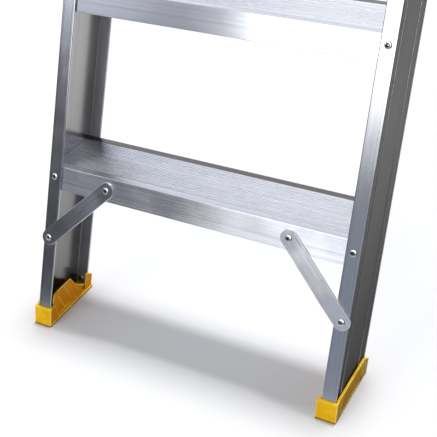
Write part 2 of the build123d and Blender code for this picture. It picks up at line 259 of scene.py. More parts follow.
# ---- finishes -------------------------------------------------------------------
@dataclass(frozen=True)
class MillAluminium:
    """Extruded aluminium with fine drawn lines and soft smudges, and painted shade that darkens it towards
    the floor.
    """

    name: str
    slot: str
    colour: tuple[float, float, float]
    drawn: Drawn
    smooth: float = 0.17
    rough: float = 0.24
    spread: float = 0.8
    line_depth: float = 0.03
    variation: float = 0.05
    # painted shade: the first field below scales the base colour at the floor, and the third gives the height
    # where it is back to full
    shade_at_floor: float = 1.0
    glance: float = 1.0
    unshaded_height: float = 420.0

    # the pattern's scales are counted per metre, and its stretch runs along the drawn lines
    STRETCH = 0.006
    QUARTER_TURN = 0.25
    LINE_SCALE = 1100.0
    LINE_HEIGHT = 0.4 * MM
    BAND_SCALE = 160.0
    SMUDGE_SCALE = 17.0
    SMUDGE_SHARE = 0.4

    def turn(self) -> tuple[float, float, float]:
        """Angles that bring the drawn direction onto the pattern's Z axis."""
        way = Vector(self.drawn.value).rotation_difference(Vector((0.0, 0.0, 1.0)))
        return tuple(way.to_euler("XYZ"))

    def smudged(self, graph: Graph, pattern: Pair, smudge: Pair) -> Pair:
        """Lets the smudges show through a pattern.

        Args:
            graph: the material's graph.
            pattern: the (node, output) pair of the pattern.
            smudge: the same, of the smudges.

        Returns:
            The (node, output) pair of both together.
        """
        strong = graph.math("MULTIPLY", pattern, 1.0 - self.SMUDGE_SHARE)
        return graph.math("ADD", strong, graph.math("MULTIPLY", smudge, self.SMUDGE_SHARE))

    def build(self) -> bpy.types.Material:
        """Builds the material.

        Returns:
            The new material.
        """
        material, graph = new_material(self.name)
        place = graph.add("TexCoord"), "Object"
        turned = graph.add("VectorRotate", {"rotation_type": "EULER_XYZ"}, Vector=place, Rotation=self.turn())
        settings, scale = {"vector_type": "POINT"}, (1.0, 1.0, self.STRETCH)
        drawn = graph.add("Mapping", settings, Vector=(turned, "Vector"), Scale=scale), "Vector"
        lines = graph.noise(drawn, self.LINE_SCALE, 4.0)
        bands = graph.noise(drawn, self.BAND_SCALE, 3.0, 0.5)
        smudge = graph.noise(place, self.SMUDGE_SCALE, 5.0)
        patchy = self.smudged(graph, bands, smudge)
        even = graph.ramp(patchy, 0.35, 0.65, 1.0 - self.variation, 1.0 + self.variation)
        height = graph.add("SeparateXYZ", Vector=place), "Z"
        # painted shade: the base colour grows darker towards the floor
        floor_shade = graph.ramp(height, 0.0, self.unshaded_height * MM, self.shade_at_floor, 1.0)
        shade = graph.math("MULTIPLY", even, floor_shade)
        tint = graph.add("CombineColor", Red=shade, Green=shade, Blue=shade), "Color"
        base = graph.mix(1.0, (*self.colour, 1.0), tint, "MULTIPLY")
        marked = self.smudged(graph, lines, smudge)
        roughness = graph.ramp(marked, 0.38, 0.62, self.smooth, self.rough, smooth=False)
        bump = graph.add("Bump", Strength=self.line_depth, Distance=self.LINE_HEIGHT, Height=lines)
        way = graph.add("CombineXYZ", X=self.drawn.value[0], Y=self.drawn.value[1], Z=self.drawn.value[2])
        shader = graph.add(
            "BsdfPrincipled", Base_Color=base, Metallic=1.0, Roughness=roughness, Normal=(bump, "Normal"),
            Tangent=(way, "Vector"), Anisotropic=self.spread, Anisotropic_Rotation=self.QUARTER_TURN,
            Specular_Tint=(self.glance,) * 3 + (1.0,),
        )
        graph.add("OutputMaterial", Surface=(shader, "BSDF"))
        return material


@dataclass(frozen=True)
class PressedMetal:
    """Small pressed part, plain and slightly worn."""

    name: str
    slot: str
    colour: tuple[float, float, float]
    smooth: float
    rough: float

    # the grain's scale is counted per metre
    GRAIN_SCALE = 1500.0
    GRAIN_HEIGHT = 0.2 * MM
    RELIEF = 0.05
    DULL = 0.85

    def build(self) -> bpy.types.Material:
        """Builds the material.

        Returns:
            The new material.
        """
        material, graph = new_material(self.name)
        place = graph.add("TexCoord"), "Object"
        grain = graph.noise(place, self.GRAIN_SCALE, 4.0)
        roughness = graph.ramp(grain, 0.35, 0.65, self.smooth, self.rough)
        dull = (*(self.DULL * part for part in self.colour), 1.0)
        shade = graph.mix(grain, dull, (*self.colour, 1.0))
        bump = graph.add("Bump", Strength=self.RELIEF, Distance=self.GRAIN_HEIGHT, Height=grain), "Normal"
        shader = graph.add("BsdfPrincipled", Base_Color=shade, Metallic=1.0, Roughness=roughness, Normal=bump)
        graph.add("OutputMaterial", Surface=(shader, "BSDF"))
        return material


@dataclass(frozen=True)
class MouldedPlastic:
    """Tough moulded plastic with a fine grain, and painted shade where it meets the floor."""

    name: str
    slot: str
    colour: tuple[float, float, float]
    deep: tuple[float, float, float]
    # painted shade: the first colour below darkens the sole, fading out by the height after it
    sole_shade: tuple[float, float, float] = (0.030, 0.022, 0.010)
    shade_height: float = 2.6

    # scales are counted per metre
    CLOUD_SCALE = 45.0
    GRAIN_SCALE = 1400.0
    PORE_SCALE = 900.0
    PORE_SHARE = 0.6
    GRAIN_HEIGHT = 0.3 * MM
    RELIEF = 0.25
    SHINE = 0.05
    SMOOTH = 0.36
    ROUGH = 0.52
    FULL_SHADE_HEIGHT = 0.4

    def build(self) -> bpy.types.Material:
        """Builds the material.

        Returns:
            The new material.
        """
        material, graph = new_material(self.name)
        place = graph.add("TexCoord"), "Object"
        cloud = graph.noise(place, self.CLOUD_SCALE, 4.0)
        grain = graph.noise(place, self.GRAIN_SCALE, 3.0, 0.5)
        pores = graph.add("TexVoronoi", Vector=place, Scale=self.PORE_SCALE), "Distance"
        uneven = graph.ramp(cloud, 0.35, 0.65, 0.0, 1.0)
        body = graph.mix(uneven, (*self.deep, 1.0), (*self.colour, 1.0))
        height = graph.add("SeparateXYZ", Vector=place), "Z"
        # painted shade near the floor
        near_floor = graph.ramp(height, self.FULL_SHADE_HEIGHT * MM, self.shade_height * MM, 1.0, 0.0)
        patch = graph.ramp(cloud, 0.3, 0.6, 0.8, 1.0)
        shade_at_floor = graph.mix(graph.math("MULTIPLY", near_floor, patch), body, (*self.sole_shade, 1.0))
        relief = graph.math("ADD", grain, graph.math("MULTIPLY", pores, self.PORE_SHARE))
        bump = graph.add("Bump", Strength=self.RELIEF, Distance=self.GRAIN_HEIGHT, Height=relief), "Normal"
        roughness = graph.ramp(cloud, 0.3, 0.7, self.SMOOTH, self.ROUGH)
        shader = graph.add(
            "BsdfPrincipled", Base_Color=shade_at_floor, Roughness=roughness, Specular_IOR_Level=self.SHINE,
            Normal=bump,
        )
        graph.add("OutputMaterial", Surface=(shader, "BSDF"))
        return material


class Finishes:
    """Builds each finish once and hands it out."""

    def __init__(self) -> None:
        """Starts with no material built."""
        self.built: dict[str, bpy.types.Material] = {}

    def material(self, finish: MillAluminium | PressedMetal | MouldedPlastic) -> bpy.types.Material:
        """Gives the material of a finish.

        Args:
            finish: the finish wanted.

        Returns:
            Its material, built at the first call.
        """
        if finish.name not in self.built:
            self.built[finish.name] = finish.build()
        return self.built[finish.name]


ALUMINIUM = (0.565, 0.58, 0.62)
BRACE_COLOUR = (0.72, 0.735, 0.78)
STILE_FACE = MillAluminium("stile_face", "stile_aluminium", ALUMINIUM, Drawn.UP_THE_STILE, spread=0.72)
# painted shade: the outside of the web is far darker than the rest of the stile, with dimmed grazing
# reflections and strong darkening towards the floor, standing in for dark reflections
STILE_WEB = MillAluminium(
    "stile_web", "stile_aluminium", (0.18, 0.176, 0.169), Drawn.UP_THE_STILE,
    smooth=0.26, rough=0.36, shade_at_floor=0.28, glance=0.55,
)
# painted shade: the inside of the web, deep in the channel, is darker than the rest of the stile and darker
# still towards the floor
STILE_INSIDE = MillAluminium(
    "stile_inside", "stile_aluminium", (0.38, 0.375, 0.37), Drawn.UP_THE_STILE,
    smooth=0.17, rough=0.25, spread=0.5, shade_at_floor=0.5, glance=0.8,
)
# painted light: the front-facing inner face of the rear flange is a lighter copy of the stile metal
STILE_REAR = MillAluminium(
    "stile_rear", "stile_aluminium", (0.78, 0.79, 0.82), Drawn.UP_THE_STILE,
    smooth=0.36, rough=0.48, spread=0.3, shade_at_floor=0.8,
)
STILE_FINISHES = (STILE_FACE, STILE_WEB, STILE_INSIDE, STILE_REAR)
TREAD_METAL = MillAluminium(
    "tread_metal", "tread_aluminium", (0.79, 0.805, 0.85), Drawn.ACROSS,
    spread=1.0, line_depth=0.012, variation=0.09,
)
# painted shade: the furrows between the ribs are darker than the ribs
TREAD_FURROW = MillAluminium(
    "tread_furrow", "tread_aluminium", (0.64, 0.64, 0.65), Drawn.ACROSS,
    smooth=0.24, rough=0.34, spread=0.8, line_depth=0.02,
)
# painted shade: the flat front strip of the deck is darker than the ribs, for the dimmer reflection it shows
TREAD_FRONT = MillAluminium(
    "tread_front", "tread_aluminium", (0.56, 0.56, 0.57), Drawn.ACROSS,
    smooth=0.22, rough=0.32, spread=0.8, line_depth=0.02,
)
# painted shade: the flat rear strip of the deck is near black, a painted dark reflection
TREAD_REAR = MillAluminium(
    "tread_rear", "tread_aluminium", (0.13, 0.122, 0.11), Drawn.ACROSS,
    smooth=0.24, rough=0.34, spread=0.6, line_depth=0.02,
)
TREAD_FINISHES = (TREAD_METAL, TREAD_FURROW, TREAD_REAR, TREAD_FRONT)
BRACE_METAL = {
    Side.RIGHT: MillAluminium("brace_metal_right", "brace_aluminium", BRACE_COLOUR, Drawn.ALONG_RIGHT_BRACE),
    Side.LEFT: MillAluminium("brace_metal_left", "brace_aluminium", BRACE_COLOUR, Drawn.ALONG_LEFT_BRACE),
}
RIVET_METAL = PressedMetal("rivet_metal", "rivet_aluminium", (0.78, 0.78, 0.78), 0.14, 0.26)
# painted shade: the rivet's mouth and a ring round the foot of its head are near black
RIVET_PAINTED_SHADE = PressedMetal("rivet_painted_shade", "rivet_aluminium", (0.05, 0.05, 0.05), 0.40, 0.60)
RIVET_FINISHES = (RIVET_METAL, RIVET_PAINTED_SHADE)
# the near-black stub is partly its dark steel and partly painted shade that blackens the rivet's mouth
STUB_METAL = PressedMetal("stub_metal", "stub_steel", (0.03, 0.03, 0.03), 0.40, 0.60)
YELLOW_PLASTIC = MouldedPlastic("yellow_plastic", "yellow_plastic", (0.83, 0.50, 0.010), (0.74, 0.40, 0.006))
# painted highlight: a pale yellow on rounded edges, the toe's slanted faces and the plate's ribs
YELLOW_PAINTED_HIGHLIGHT = MouldedPlastic("yellow_painted_highlight", "yellow_plastic", (0.92, 0.70, 0.20), (0.84, 0.58, 0.10))
# painted shade: the sunk field of the outer wall is dark
YELLOW_FIELD = MouldedPlastic("yellow_field", "yellow_plastic", (0.27, 0.14, 0.002), (0.21, 0.10, 0.001))
# painted shade: the inner plate is darker and more orange than the toe
YELLOW_PLATE = MouldedPlastic("yellow_plate", "yellow_plastic", (0.76, 0.30, 0.002), (0.70, 0.25, 0.001))
# painted shade: the outer side of the wall is darker than the toe
YELLOW_WALL = MouldedPlastic("yellow_wall", "yellow_plastic", (0.42, 0.235, 0.002), (0.36, 0.19, 0.002))
YELLOW_FINISHES = (YELLOW_PLASTIC, YELLOW_PAINTED_HIGHLIGHT, YELLOW_FIELD, YELLOW_WALL, YELLOW_PLATE)


# ---- mesh helpers ---------------------------------------------------------------
FACING = 0.99  # least part of a normal along an axis for a face that faces it
LEANING = 0.7  # the same for a face that only mostly faces it
MERGE = 0.001  # distance under which points are made one, in millimetres
NEAR = 0.01  # distance that still counts as touching, in millimetres
SLACK = 0.1  # distance that a search reaches further, in millimetres
AVERTED = 0.1  # most of a normal along an axis for a face that looks past it


@dataclass(frozen=True)
class Corner:
    """A corner of an outline, with the radius that rounds it."""

    x: float
    y: float
    radius: float = 0.0


class Blank:
    """A mesh that is shaped step by step, in millimetres, and then becomes a piece."""

    SHARP = math.radians(32.0)
    FLAT = math.radians(0.5)

    def __init__(self) -> None:
        """Starts with an empty mesh."""
        self.bm = bmesh.new()

    @classmethod
    def extrusion(cls, corners: Sequence[Corner], low: float, high: float, segments: int = 4) -> "Blank":
        """Draws an outline out along Z.

        Args:
            corners: the outline's corners, in order.
            low: Z of the start.
            high: Z of the end.
            segments: how many flats round a corner.

        Returns:
            The closed extrusion.
        """
        blank = cls()
        bm = blank.bm
        verts = [bm.verts.new((corner.x, corner.y, low)) for corner in corners]
        bm.faces.new(verts)
        for radius in sorted({corner.radius for corner in corners} - {0.0}):
            group = [vert for vert, corner in zip(verts, corners) if corner.radius == radius]
            bmesh.ops.bevel(
                bm, geom=group, offset=radius, segments=segments, profile=0.5, affect="VERTICES", material=-1
            )
        grown = bmesh.ops.extrude_face_region(bm, geom=bm.faces[:])
        moved = [item for item in grown["geom"] if isinstance(item, bmesh.types.BMVert)]
        bmesh.ops.translate(bm, verts=moved, vec=(0.0, 0.0, high - low))
        return blank

    @classmethod
    def turned(cls, outline: Sequence[tuple[float, float]], steps: int) -> "Blank":
        """Spins an outline of (radius, height) points round the Z axis.

        Args:
            outline: the points, from the axis and back to it.
            steps: how many flats go round.

        Returns:
            The closed solid of revolution.
        """
        blank = cls()
        bm = blank.bm
        verts = [bm.verts.new((radius, 0.0, height)) for radius, height in outline]
        edges = [bm.edges.new(pair) for pair in zip(verts, verts[1:])]
        bmesh.ops.spin(
            bm, geom=verts + edges, cent=(0, 0, 0), axis=(0, 0, 1), dvec=(0, 0, 0),
            angle=2 * math.pi, steps=steps, use_merge=True, use_duplicate=False,
        )
        bmesh.ops.remove_doubles(bm, verts=bm.verts[:], dist=MERGE)
        return blank

    @classmethod
    def from_node(cls, node: str, stance: Stance) -> "Blank":
        """Takes a working copy of a frame node and merges its loose triangles.

        Args:
            node: the node's name.
            stance: gives the floor line that places are counted from.

        Returns:
            The copy, in millimetres, with its flat faces whole again.
        """
        blank = cls()
        blank.bm.from_mesh(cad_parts[node].data)
        blank.bm.transform(stance.level_matrix().inverted())
        bmesh.ops.remove_doubles(blank.bm, verts=blank.bm.verts[:], dist=2 * MERGE)
        bmesh.ops.dissolve_limit(
            blank.bm, angle_limit=cls.FLAT, verts=blank.bm.verts[:], edges=blank.bm.edges[:]
        )
        return blank

    def edges_where(self, test: Callable[[Vector, Vector], bool]) -> list[bmesh.types.BMEdge]:
        """Finds edges by the places of their ends."""
        return [edge for edge in self.bm.edges if test(edge.verts[0].co, edge.verts[1].co)]

    def round_edges(self, edges: Iterable[bmesh.types.BMEdge], radius: float, segments: int = 2,
                    material: int = -1, clamp: bool = True) -> None:
        """Rounds edges.

        Args:
            edges: the edges.
            radius: how far the rounding reaches.
            segments: how many flats it has.
            material: material index of the new faces. With -1 it is the neighbours' own.
            clamp: whether short neighbours make the rounding smaller.
        """
        bmesh.ops.bevel(
            self.bm, geom=list(edges), offset=radius, segments=segments, profile=0.5,
            affect="EDGES", material=material, clamp_overlap=clamp,
        )

    def slice(self, point: Vector, normal: Vector, keep: bool = True) -> None:
        """Cuts the mesh with a plane.

        Args:
            point: a point on the plane.
            normal: the plane's normal.
            keep: whether both halves stay. If not, the half that the normal points to goes.
        """
        geom = self.bm.verts[:] + self.bm.edges[:] + self.bm.faces[:]
        cut = bmesh.ops.bisect_plane(
            self.bm, geom=geom, dist=MERGE / 2, plane_co=point, plane_no=normal, clear_outer=not keep
        )
        if not keep:
            rim = [item for item in cut["geom_cut"] if isinstance(item, bmesh.types.BMEdge)]
            bmesh.ops.holes_fill(self.bm, edges=rim)

    def mirrored(self, side: Side) -> "Blank":
        """Turns the right-hand shape into the one for a side."""
        if side is Side.LEFT:
            self.bm.transform(Matrix.Scale(-1.0, 4, (1.0, 0.0, 0.0)))
            bmesh.ops.reverse_faces(self.bm, faces=self.bm.faces[:])
        return self

    def join(self, other: "Blank") -> "Blank":
        """Takes another blank's mesh into this one."""
        spare = bpy.data.meshes.new("spare")
        other.bm.to_mesh(spare)
        self.bm.from_mesh(spare)
        bpy.data.meshes.remove(spare)
        other.bm.free()
        return self

    @classmethod
    def weigh_normals(cls, mesh: bpy.types.Mesh) -> None:
        """Gives each corner a normal led by the largest faces, so that flats stay flat.

        Args:
            mesh: the finished mesh.
        """
        around: list[list[int]] = [[] for _ in mesh.vertices]
        for polygon in mesh.polygons:
            for vertex in polygon.vertices:
                around[vertex].append(polygon.index)
        normals = [polygon.normal.copy() for polygon in mesh.polygons]
        areas = [polygon.area for polygon in mesh.polygons]
        nearness = math.cos(cls.SHARP)
        corners = []
        for polygon in mesh.polygons:
            own = normals[polygon.index]
            for vertex in polygon.vertices:
                near = [index for index in around[vertex] if own.dot(normals[index]) > nearness]
                corners.append(sum((normals[index] * areas[index] for index in near), Vector()).normalized())
        mesh.normals_split_custom_set(corners)

    def piece(self, name: str, matrix: Matrix, nodes: Sequence[str], slot: str,
              materials: Sequence[bpy.types.Material]) -> bpy.types.Object:
        """Finishes the mesh and puts it in the scene in place of its nodes.

        Args:
            name: the piece's name.
            matrix: brings the blank's millimetres to their place in the frame.
            nodes: the frame nodes that it stands for.
            slot: the material slot of the record that it belongs to; not used.
            materials: the materials of its faces, by their index.

        Returns:
            The piece.
        """
        self.bm.transform(matrix)
        bmesh.ops.remove_doubles(self.bm, verts=self.bm.verts[:], dist=MERGE * MM)
        bmesh.ops.recalc_face_normals(self.bm, faces=self.bm.faces[:])
        open_edges = sum(not edge.is_manifold for edge in self.bm.edges)
        for face in self.bm.faces:
            face.smooth = True
        mesh = bpy.data.meshes.new(name)
        self.bm.to_mesh(mesh)
        self.bm.free()
        self.weigh_normals(mesh)
        for material in materials:
            mesh.materials.append(material)
        piece = bpy.data.objects.new(name, mesh)
        bpy.context.scene.collection.objects.link(piece)
        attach(piece, BODY)
        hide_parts(*nodes)
        LOG.info("%s: %d faces, %d open edges", name, len(mesh.polygons), open_edges)
        return piece


# ---- stiles ---------------------------------------------------------------------
@dataclass(frozen=True)
class ChannelStile:
    """Channel extrusion that leans back, open towards the treads."""

    stance: Stance
    length: float = 625.0
    end_height: float = 9.0
    corner_radius: float = 1.6
    root_radius: float = 1.0
    tip_radius: float = 1.5
    land: float = 2.6
    band_inset: float = 14.0
    band_width: float = 11.0
    band_height: float = 0.7
    band_radius: float = 0.3
    groove_inset: float = 4.5
    groove_width: float = 1.2
    groove_depth: float = 0.4
    end_radius: float = 0.35

    def flange_groove(self, x: float, face: float, inwards: float) -> list[Corner]:
        """Corners of a fine groove in a flange face, in the direction of rising X."""
        floor = face + inwards * self.groove_depth
        near, far = x - self.groove_width / 2, x + self.groove_width / 2
        return [Corner(near, face), Corner(near, floor), Corner(far, floor), Corner(far, face)]

    def outline(self) -> list[Corner]:
        """Section of the right stile: X across, Y in depth.

        Returns:
            The corners of the section, in order.
        """
        stance = self.stance
        inner, outer = stance.inner_edge, stance.outer_edge
        depth, flange = stance.stile_depth, stance.flange
        web_inside = outer - stance.web
        low = outer - self.band_height
        near, far = inner + self.groove_inset, outer - self.groove_inset
        band_end = self.band_inset + self.band_width
        steps = [self.land, self.band_inset, band_end]
        steps += [depth - step for step in reversed(steps)]
        web: list[Corner] = []
        for index, place in enumerate(steps):
            before, after = (outer, low) if index % 2 == 0 else (low, outer)
            web += [Corner(before, place, self.band_radius), Corner(after, place, self.band_radius)]
        front = self.flange_groove(near, 0.0, 1.0) + self.flange_groove(far, 0.0, 1.0)
        rear = self.flange_groove(near, depth, -1.0) + self.flange_groove(far, depth, -1.0)
        return [
            Corner(inner, 0.0, self.tip_radius),
            *front,
            Corner(outer, 0.0, self.corner_radius),
            *web,
            Corner(outer, depth, self.corner_radius),
            *reversed(rear),
            Corner(inner, depth, self.tip_radius),
            Corner(inner, depth - flange, self.tip_radius),
            Corner(web_inside, depth - flange, self.root_radius),
            Corner(web_inside, flange, self.root_radius),
            Corner(inner, flange, self.tip_radius),
        ]

    def finish_of(self, face: bmesh.types.BMFace) -> MillAluminium:
        """Chooses the finish of a face of the right stile.

        Args:
            face: a face of the extrusion.

        Returns:
            One of the stile's finishes.
        """
        stance = self.stance
        middle = face.calc_center_median()
        on_web = middle.x > stance.flange_middle
        on_rear_flange = middle.y > stance.stile_depth - 1.5 * stance.flange
        # the outside of the web gets the copy with painted shade
        if on_web and face.normal.x > LEANING:
            return STILE_WEB
        # the inside of the web gets the copy with painted shade
        if on_web and face.normal.x < -LEANING:
            return STILE_INSIDE
        # the inner face of the rear flange gets the lighter copy with painted light
        return STILE_REAR if on_rear_flange and face.normal.y < -LEANING else STILE_FACE

    def build(self, side: Side, finishes: Finishes) -> bpy.types.Object:
        """Builds one stile.

        Args:
            side: which side it stands on.
            finishes: gives its materials.

        Returns:
            The stile.
        """
        stance = self.stance
        blank = Blank.extrusion(self.outline(), -stance.stile_depth, self.length)
        top = blank.edges_where(lambda a, b: min(a.z, b.z) > self.length - SLACK)
        blank.round_edges(top, self.end_radius)
        tilt = Matrix.Rotation(stance.lean, 3, "X")
        level = tilt @ Vector((0.0, 0.0, 1.0))
        foot = tilt @ Vector((0.0, 0.0, self.end_height))
        blank.slice(foot, -level, keep=False)
        blank.bm.normal_update()
        for face in blank.bm.faces:
            face.material_index = STILE_FINISHES.index(self.finish_of(face))
        blank.mirrored(side)
        name = "stile_" + side.name.lower()
        materials = [finishes.material(finish) for finish in STILE_FINISHES]
        return blank.piece(name + "_extrusion", stance.stile_matrix(), [name], STILE_FACE.slot, materials)


# ---- treads ---------------------------------------------------------------------
@dataclass(frozen=True)
class RibbedTread:
    """Tread extrusion with a ribbed deck, skirts that follow the stiles and inward lips.

    Its place, lower or upper, is part of the names of the tread and its rivets.
    """

    stance: Stance
    place: str
    height: float
    rivet_drop: float
    end_gap: float = 0.15
    skirt_height: float = 34.5
    skirt: float = 2.5
    deck: float = 2.6
    lip_length: float = 11.0
    lip: float = 2.2
    strip: float = 9.5
    pitch: float = 4.0
    rib: float = 2.2
    rib_height: float = 0.9
    nose_radius: float = 0.7
    lip_radius: float = 0.9
    rib_radius: float = 0.6
    keel_depth: float = 9.0
    keel: float = 2.2

    def outline(self) -> list[Corner]:
        """Section of the tread: X to the back, Y up.

        Returns:
            The corners of the section, in order.
        """
        stance = self.stance
        front, rear = stance.flange, stance.stile_depth - stance.flange
        top, bottom = self.height, self.height - self.skirt_height
        under, over = top - self.deck, bottom + self.lip
        at = stance.at_depth
        middle = (at(top, front) + at(top, rear)) / 2
        half = self.keel / 2
        return [
            Corner(at(top, front), top, self.nose_radius),
            Corner(at(bottom, front), bottom, self.lip_radius),
            Corner(at(bottom, front) + self.lip_length, bottom, self.lip_radius),
            Corner(at(bottom, front) + self.lip_length, over, self.lip_radius),
            Corner(at(over, front + self.skirt), over),
            Corner(at(under, front + self.skirt), under),
            Corner(middle - half, under),
            Corner(middle - half, under - self.keel_depth),
            Corner(middle + half, under - self.keel_depth),
            Corner(middle + half, under),
            Corner(at(under, rear - self.skirt), under),
            Corner(at(over, rear - self.skirt), over),
            Corner(at(bottom, rear) - self.lip_length, over, self.lip_radius),
            Corner(at(bottom, rear) - self.lip_length, bottom, self.lip_radius),
            Corner(at(bottom, rear), bottom, self.lip_radius),
            Corner(at(top, rear), top, self.nose_radius),
        ]

    def furrows(self) -> list[tuple[float, float]]:
        """Places of the furrows between the ribs.

        Returns:
            Start and end of each furrow, behind the floor line.
        """
        stance = self.stance
        start = stance.at_depth(self.height, stance.flange) + self.strip
        end = stance.at_depth(self.height, stance.stile_depth - stance.flange) - self.strip
        width = self.pitch - self.rib
        count = int((end - start) // self.pitch)
        first = (start + end - (count - 1) * self.pitch) / 2
        middles = (first + index * self.pitch for index in range(count))
        return [(middle - width / 2, middle + width / 2) for middle in middles]

    def on_top(self, face: bmesh.types.BMFace) -> bool:
        """Tells whether a face lies in the top of the tread."""
        return face.normal.y > FACING and face.calc_center_median().y > self.height - NEAR

    def cut_furrow_edges(self, blank: Blank, furrows: list[tuple[float, float]]) -> None:
        """Cuts the top of the tread along both edges of each furrow.

        Args:
            blank: the tread, with X to the back, Y up and Z across.
            furrows: start and end of each furrow.
        """
        bm = blank.bm
        for place in (edge for furrow in furrows for edge in furrow):
            deck = [face for face in bm.faces if self.on_top(face)]
            edges = {edge for face in deck for edge in face.edges}
            verts = {vert for face in deck for vert in face.verts}
            bmesh.ops.bisect_plane(
                bm, geom=[*verts, *edges, *deck], dist=MERGE / 10,
                plane_co=(place, 0.0, 0.0), plane_no=(1.0, 0.0, 0.0),
            )

    def finish_of(self, face: bmesh.types.BMFace, low: float, high: float) -> MillAluminium:
        """Chooses the finish of a face.

        Args:
            face: a face of the tread, with its furrows sunk.
            low: start of the ribbed deck, behind the floor line.
            high: its end.

        Returns:
            One of the tread's finishes.
        """
        middle = face.calc_center_median()
        # the front strip gets the darker copy with painted shade
        if self.on_top(face) and middle.x < low:
            return TREAD_FRONT
        # the rear strip gets the near-black copy with painted shade
        if self.on_top(face) and middle.x > high:
            return TREAD_REAR
        # the furrows get the darker copy with painted shade
        sunk = self.height - self.deck / 2 < middle.y < self.height - NEAR
        return TREAD_FURROW if sunk and low < middle.x < high else TREAD_METAL

    def press_furrows(self, blank: Blank) -> None:
        """Sinks the furrows into the deck and rounds the ribs that are left.

        Args:
            blank: the tread, with X to the back, Y up and Z across.
        """
        bm = blank.bm
        furrows = self.furrows()
        self.cut_furrow_edges(blank, furrows)
        sunk = []
        for face in bm.faces:
            middle = face.calc_center_median()
            if self.on_top(face) and any(start < middle.x < end for start, end in furrows):
                sunk.append(face)
        grown = bmesh.ops.extrude_face_region(bm, geom=sunk)
        floor = [item for item in grown["geom"] if isinstance(item, bmesh.types.BMVert)]
        bmesh.ops.delete(bm, geom=[face for face in sunk if face.is_valid], context="FACES_ONLY")
        bmesh.ops.translate(bm, verts=floor, vec=(0.0, -self.rib_height, 0.0))
        bm.normal_update()
        low, high = furrows[0][0] - SLACK, furrows[-1][1] + SLACK
        for face in bm.faces:
            face.material_index = TREAD_FINISHES.index(self.finish_of(face, low, high))
        top = self.height - NEAR
        crests = blank.edges_where(
            lambda a, b: abs(a.z - b.z) > self.pitch and min(a.y, b.y) > top and low < a.x < high
        )
        blank.round_edges(crests, self.rib_radius)

    def build(self, finishes: Finishes) -> bpy.types.Object:
        """Builds the tread.

        Args:
            finishes: gives its material.

        Returns:
            The tread.
        """
        stance = self.stance
        reach = stance.outer_edge - stance.web - self.end_gap
        blank = Blank.extrusion(self.outline(), -reach, reach)
        bmesh.ops.recalc_face_normals(blank.bm, faces=blank.bm.faces[:])
        self.press_furrows(blank)
        turn = Matrix(((0, 0, 1, 0), (1, 0, 0, 0), (0, 1, 0, 0), (0, 0, 0, 1)))
        matrix = stance.level_matrix() @ turn
        materials = [finishes.material(finish) for finish in TREAD_FINISHES]
        name = "tread_" + self.place
        return blank.piece(name + "_extrusion", matrix, [name], TREAD_METAL.slot, materials)


# ---- braces ---------------------------------------------------------------------
@dataclass(frozen=True)
class KneeBrace:
    """Flat bar with round ends, cranked from the tread's skirt to the stile's face."""

    stance: Stance
    width: float = 25.0
    thickness: float = 3.0
    inner_reach: float = 151.5
    upper_drop: float = 19.1
    lower_run: float = 148.8
    upper_flat: float = 14.0
    lower_flat: float = 36.0
    edge_radius: float = 0.8
    rim_angle: float = math.radians(60.0)
    bend_steps: int = 8

    @property
    def upper_run(self) -> float:
        """Distance along the stile to the upper rivet."""
        return self.stance.tread_run(self.stance.first_tread) - self.upper_drop

    @property
    def across(self) -> float:
        """How far apart the rivets are across the ladder."""
        return self.stance.flange_middle - self.inner_reach

    @property
    def span(self) -> float:
        """Distance from rivet to rivet."""
        return math.hypot(self.across, self.upper_run - self.lower_run)

    def crank(self, place: float) -> float:
        """Depth of the bar's back face behind the stiles' front face.

        Args:
            place: distance from the upper rivet towards the lower one.

        Returns:
            The depth, which goes evenly from the skirt's to the flange's.
        """
        share = (place - self.upper_flat) / (self.span - self.lower_flat - self.upper_flat)
        return self.stance.flange * (1.0 - min(1.0, max(0.0, share)))

    def build(self, side: Side, finishes: Finishes) -> bpy.types.Object:
        """Builds one brace.

        Args:
            side: which side it holds.
            finishes: gives its material.

        Returns:
            The brace.
        """
        end = self.width / 2
        corners = [
            Corner(-end, -end, end), Corner(self.span + end, -end, end),
            Corner(self.span + end, end, end), Corner(-end, end, end),
        ]
        blank = Blank.extrusion(corners, 0.0, self.thickness, segments=20)
        stretch = self.span - self.lower_flat - self.upper_flat
        for step in range(self.bend_steps + 1):
            place = self.upper_flat + stretch * step / self.bend_steps
            blank.slice(Vector((place, 0.0, 0.0)), Vector((1.0, 0.0, 0.0)))
        rim = [edge for edge in blank.bm.edges if edge.calc_face_angle(0.0) > self.rim_angle]
        blank.round_edges(rim, self.edge_radius, 3)
        for vert in blank.bm.verts:
            vert.co.z -= self.crank(vert.co.x)
        slope = math.atan2(self.upper_run - self.lower_run, self.across)
        along = Vector((math.cos(slope), 0.0, -math.sin(slope)))
        outward = Vector((0.0, -1.0, 0.0))
        turn = Matrix((along, outward.cross(along), outward)).transposed().to_4x4()
        place = Matrix.Translation((self.inner_reach, 0.0, self.upper_run))
        blank.bm.transform(place @ turn)
        blank.mirrored(side)
        name = "brace_" + side.name.lower()
        finish = BRACE_METAL[side]
        return blank.piece(
            name + "_bar", self.stance.stile_matrix(), [name], finish.slot, [finishes.material(finish)]
        )


# ---- rivets ---------------------------------------------------------------------
@dataclass(frozen=True)
class RivetPlace:
    """Where a pair of rivets goes on the stile, and what they hold."""

    name: str
    across: float
    run: float
    seat: float
    outward: int
    grip: float


